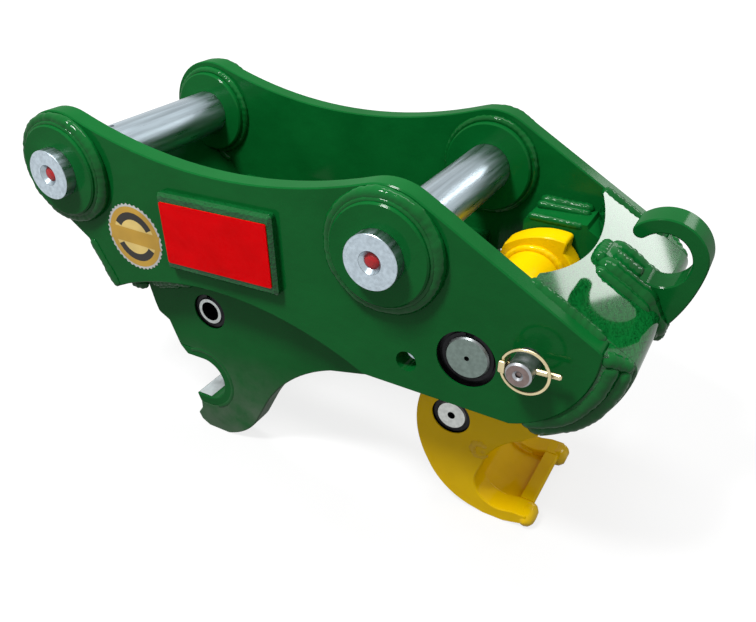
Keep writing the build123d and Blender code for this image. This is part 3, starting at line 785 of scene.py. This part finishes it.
forward = Vector((
    -math.sin(CAMERA_YAW) * math.cos(CAMERA_PITCH),
    math.cos(CAMERA_YAW) * math.cos(CAMERA_PITCH),
    math.sin(CAMERA_PITCH),
))
right = Vector((math.cos(CAMERA_YAW), math.sin(CAMERA_YAW), 0))
up = right.cross(forward)
rolled_right = right * math.cos(CAMERA_ROLL) + up * math.sin(CAMERA_ROLL)
rolled_up = up * math.cos(CAMERA_ROLL) - right * math.sin(CAMERA_ROLL)
lens = bpy.data.cameras.new("camera")
lens.sensor_fit = "HORIZONTAL"
lens.sensor_width = SENSOR
lens.lens = SENSOR * FOCAL_PX / PHOTO[0]
lens.shift_x = (PHOTO[0] / 2 - CENTRE_PX[0]) / PHOTO[0]
lens.shift_y = (CENTRE_PX[1] - PHOTO[1] / 2) / PHOTO[0]
lens.clip_start = 0.01
camera = bpy.data.objects.new("camera", lens)
bpy.context.scene.collection.objects.link(camera)
axes = Matrix((rolled_right, rolled_up, -forward)).transposed()
camera.matrix_world = Matrix.Translation(Vector(CAMERA_AT) * MM) @ axes.to_4x4()
bpy.context.scene.camera = camera


# Floor and light, in metres: the floor's glow grows to white away from the object

MIDDLE = (0.27, 0, -0.1)
NOSE_TOP = (0.52, 0, 0)
FLOOR_HALF = 12
WHITE = (1, 1, 1, 1)
NEAR_FLOOR, FAR_FLOOR = 0.5, 1.6
NEAR_GLOW = 0.8
SKY_LIGHT = 0.5

floor_mesh = bmesh.new()
bmesh.ops.create_grid(floor_mesh, x_segments=1, y_segments=1, size=FLOOR_HALF)
floor_data = bpy.data.meshes.new("floor")
floor_mesh.to_mesh(floor_data)
floor_mesh.free()
floor = bpy.data.objects.new("floor", floor_data)
floor.location = (MIDDLE[0], 0, cad_box[0][2])
bpy.context.scene.collection.objects.link(floor)
floor_material, floor_tree, floor_shader = new_material("floor")
floor_shader.inputs["Base Color"].default_value = (0.2, 0.2, 0.2, 1)
floor_shader.inputs["Roughness"].default_value = 0.9
floor_shader.inputs["Specular IOR Level"].default_value = 0
floor_shader.inputs["Emission Color"].default_value = WHITE
floor_place = floor_tree.nodes.new("ShaderNodeTexCoord")
distance = floor_tree.nodes.new("ShaderNodeVectorMath")
distance.operation = "LENGTH"
floor_tree.links.new(floor_place.outputs["Object"], distance.inputs[0])
level = carry_over(floor_tree, distance.outputs["Value"], NEAR_FLOOR, FAR_FLOOR, NEAR_GLOW, 1)
glow = calculate(floor_tree, "MULTIPLY", seen_rays(floor_tree, 1, 0), level)
floor_tree.links.new(glow, floor_shader.inputs["Emission Strength"])
floor_data.materials.append(floor_material)

world = bpy.data.worlds.new("world")
bpy.context.scene.world = world
world.use_nodes = True
world_tree = world.node_tree
sky = world_tree.nodes["Background"]
sky.inputs["Color"].default_value = WHITE
world_tree.links.new(seen_rays(world_tree, 1, SKY_LIGHT), sky.inputs["Strength"])


def softbox(name, place, aim, size, power):
    """A rectangular lamp turned to a point; size in metres, power in watts."""
    lamp = bpy.data.lights.new(name, "AREA")
    lamp.shape = "RECTANGLE"
    lamp.size, lamp.size_y = size
    lamp.energy = power
    piece = bpy.data.objects.new(name, lamp)
    piece.location = place
    piece.rotation_euler = (Vector(aim) - Vector(place)).to_track_quat("-Z", "Y").to_euler()
    bpy.context.scene.collection.objects.link(piece)


softbox("key", (-0.07, -0.85, 1.38), MIDDLE, (0.3, 0.3), 25)
softbox("window", (1.1, 2.06, 0.81), NOSE_TOP, (0.46, 0.40), 5)
softbox("overhead", (0.3, 0.2, 1.7), MIDDLE, (1.2, 0.5), 18)

bpy.context.scene.view_settings.view_transform = "Standard"
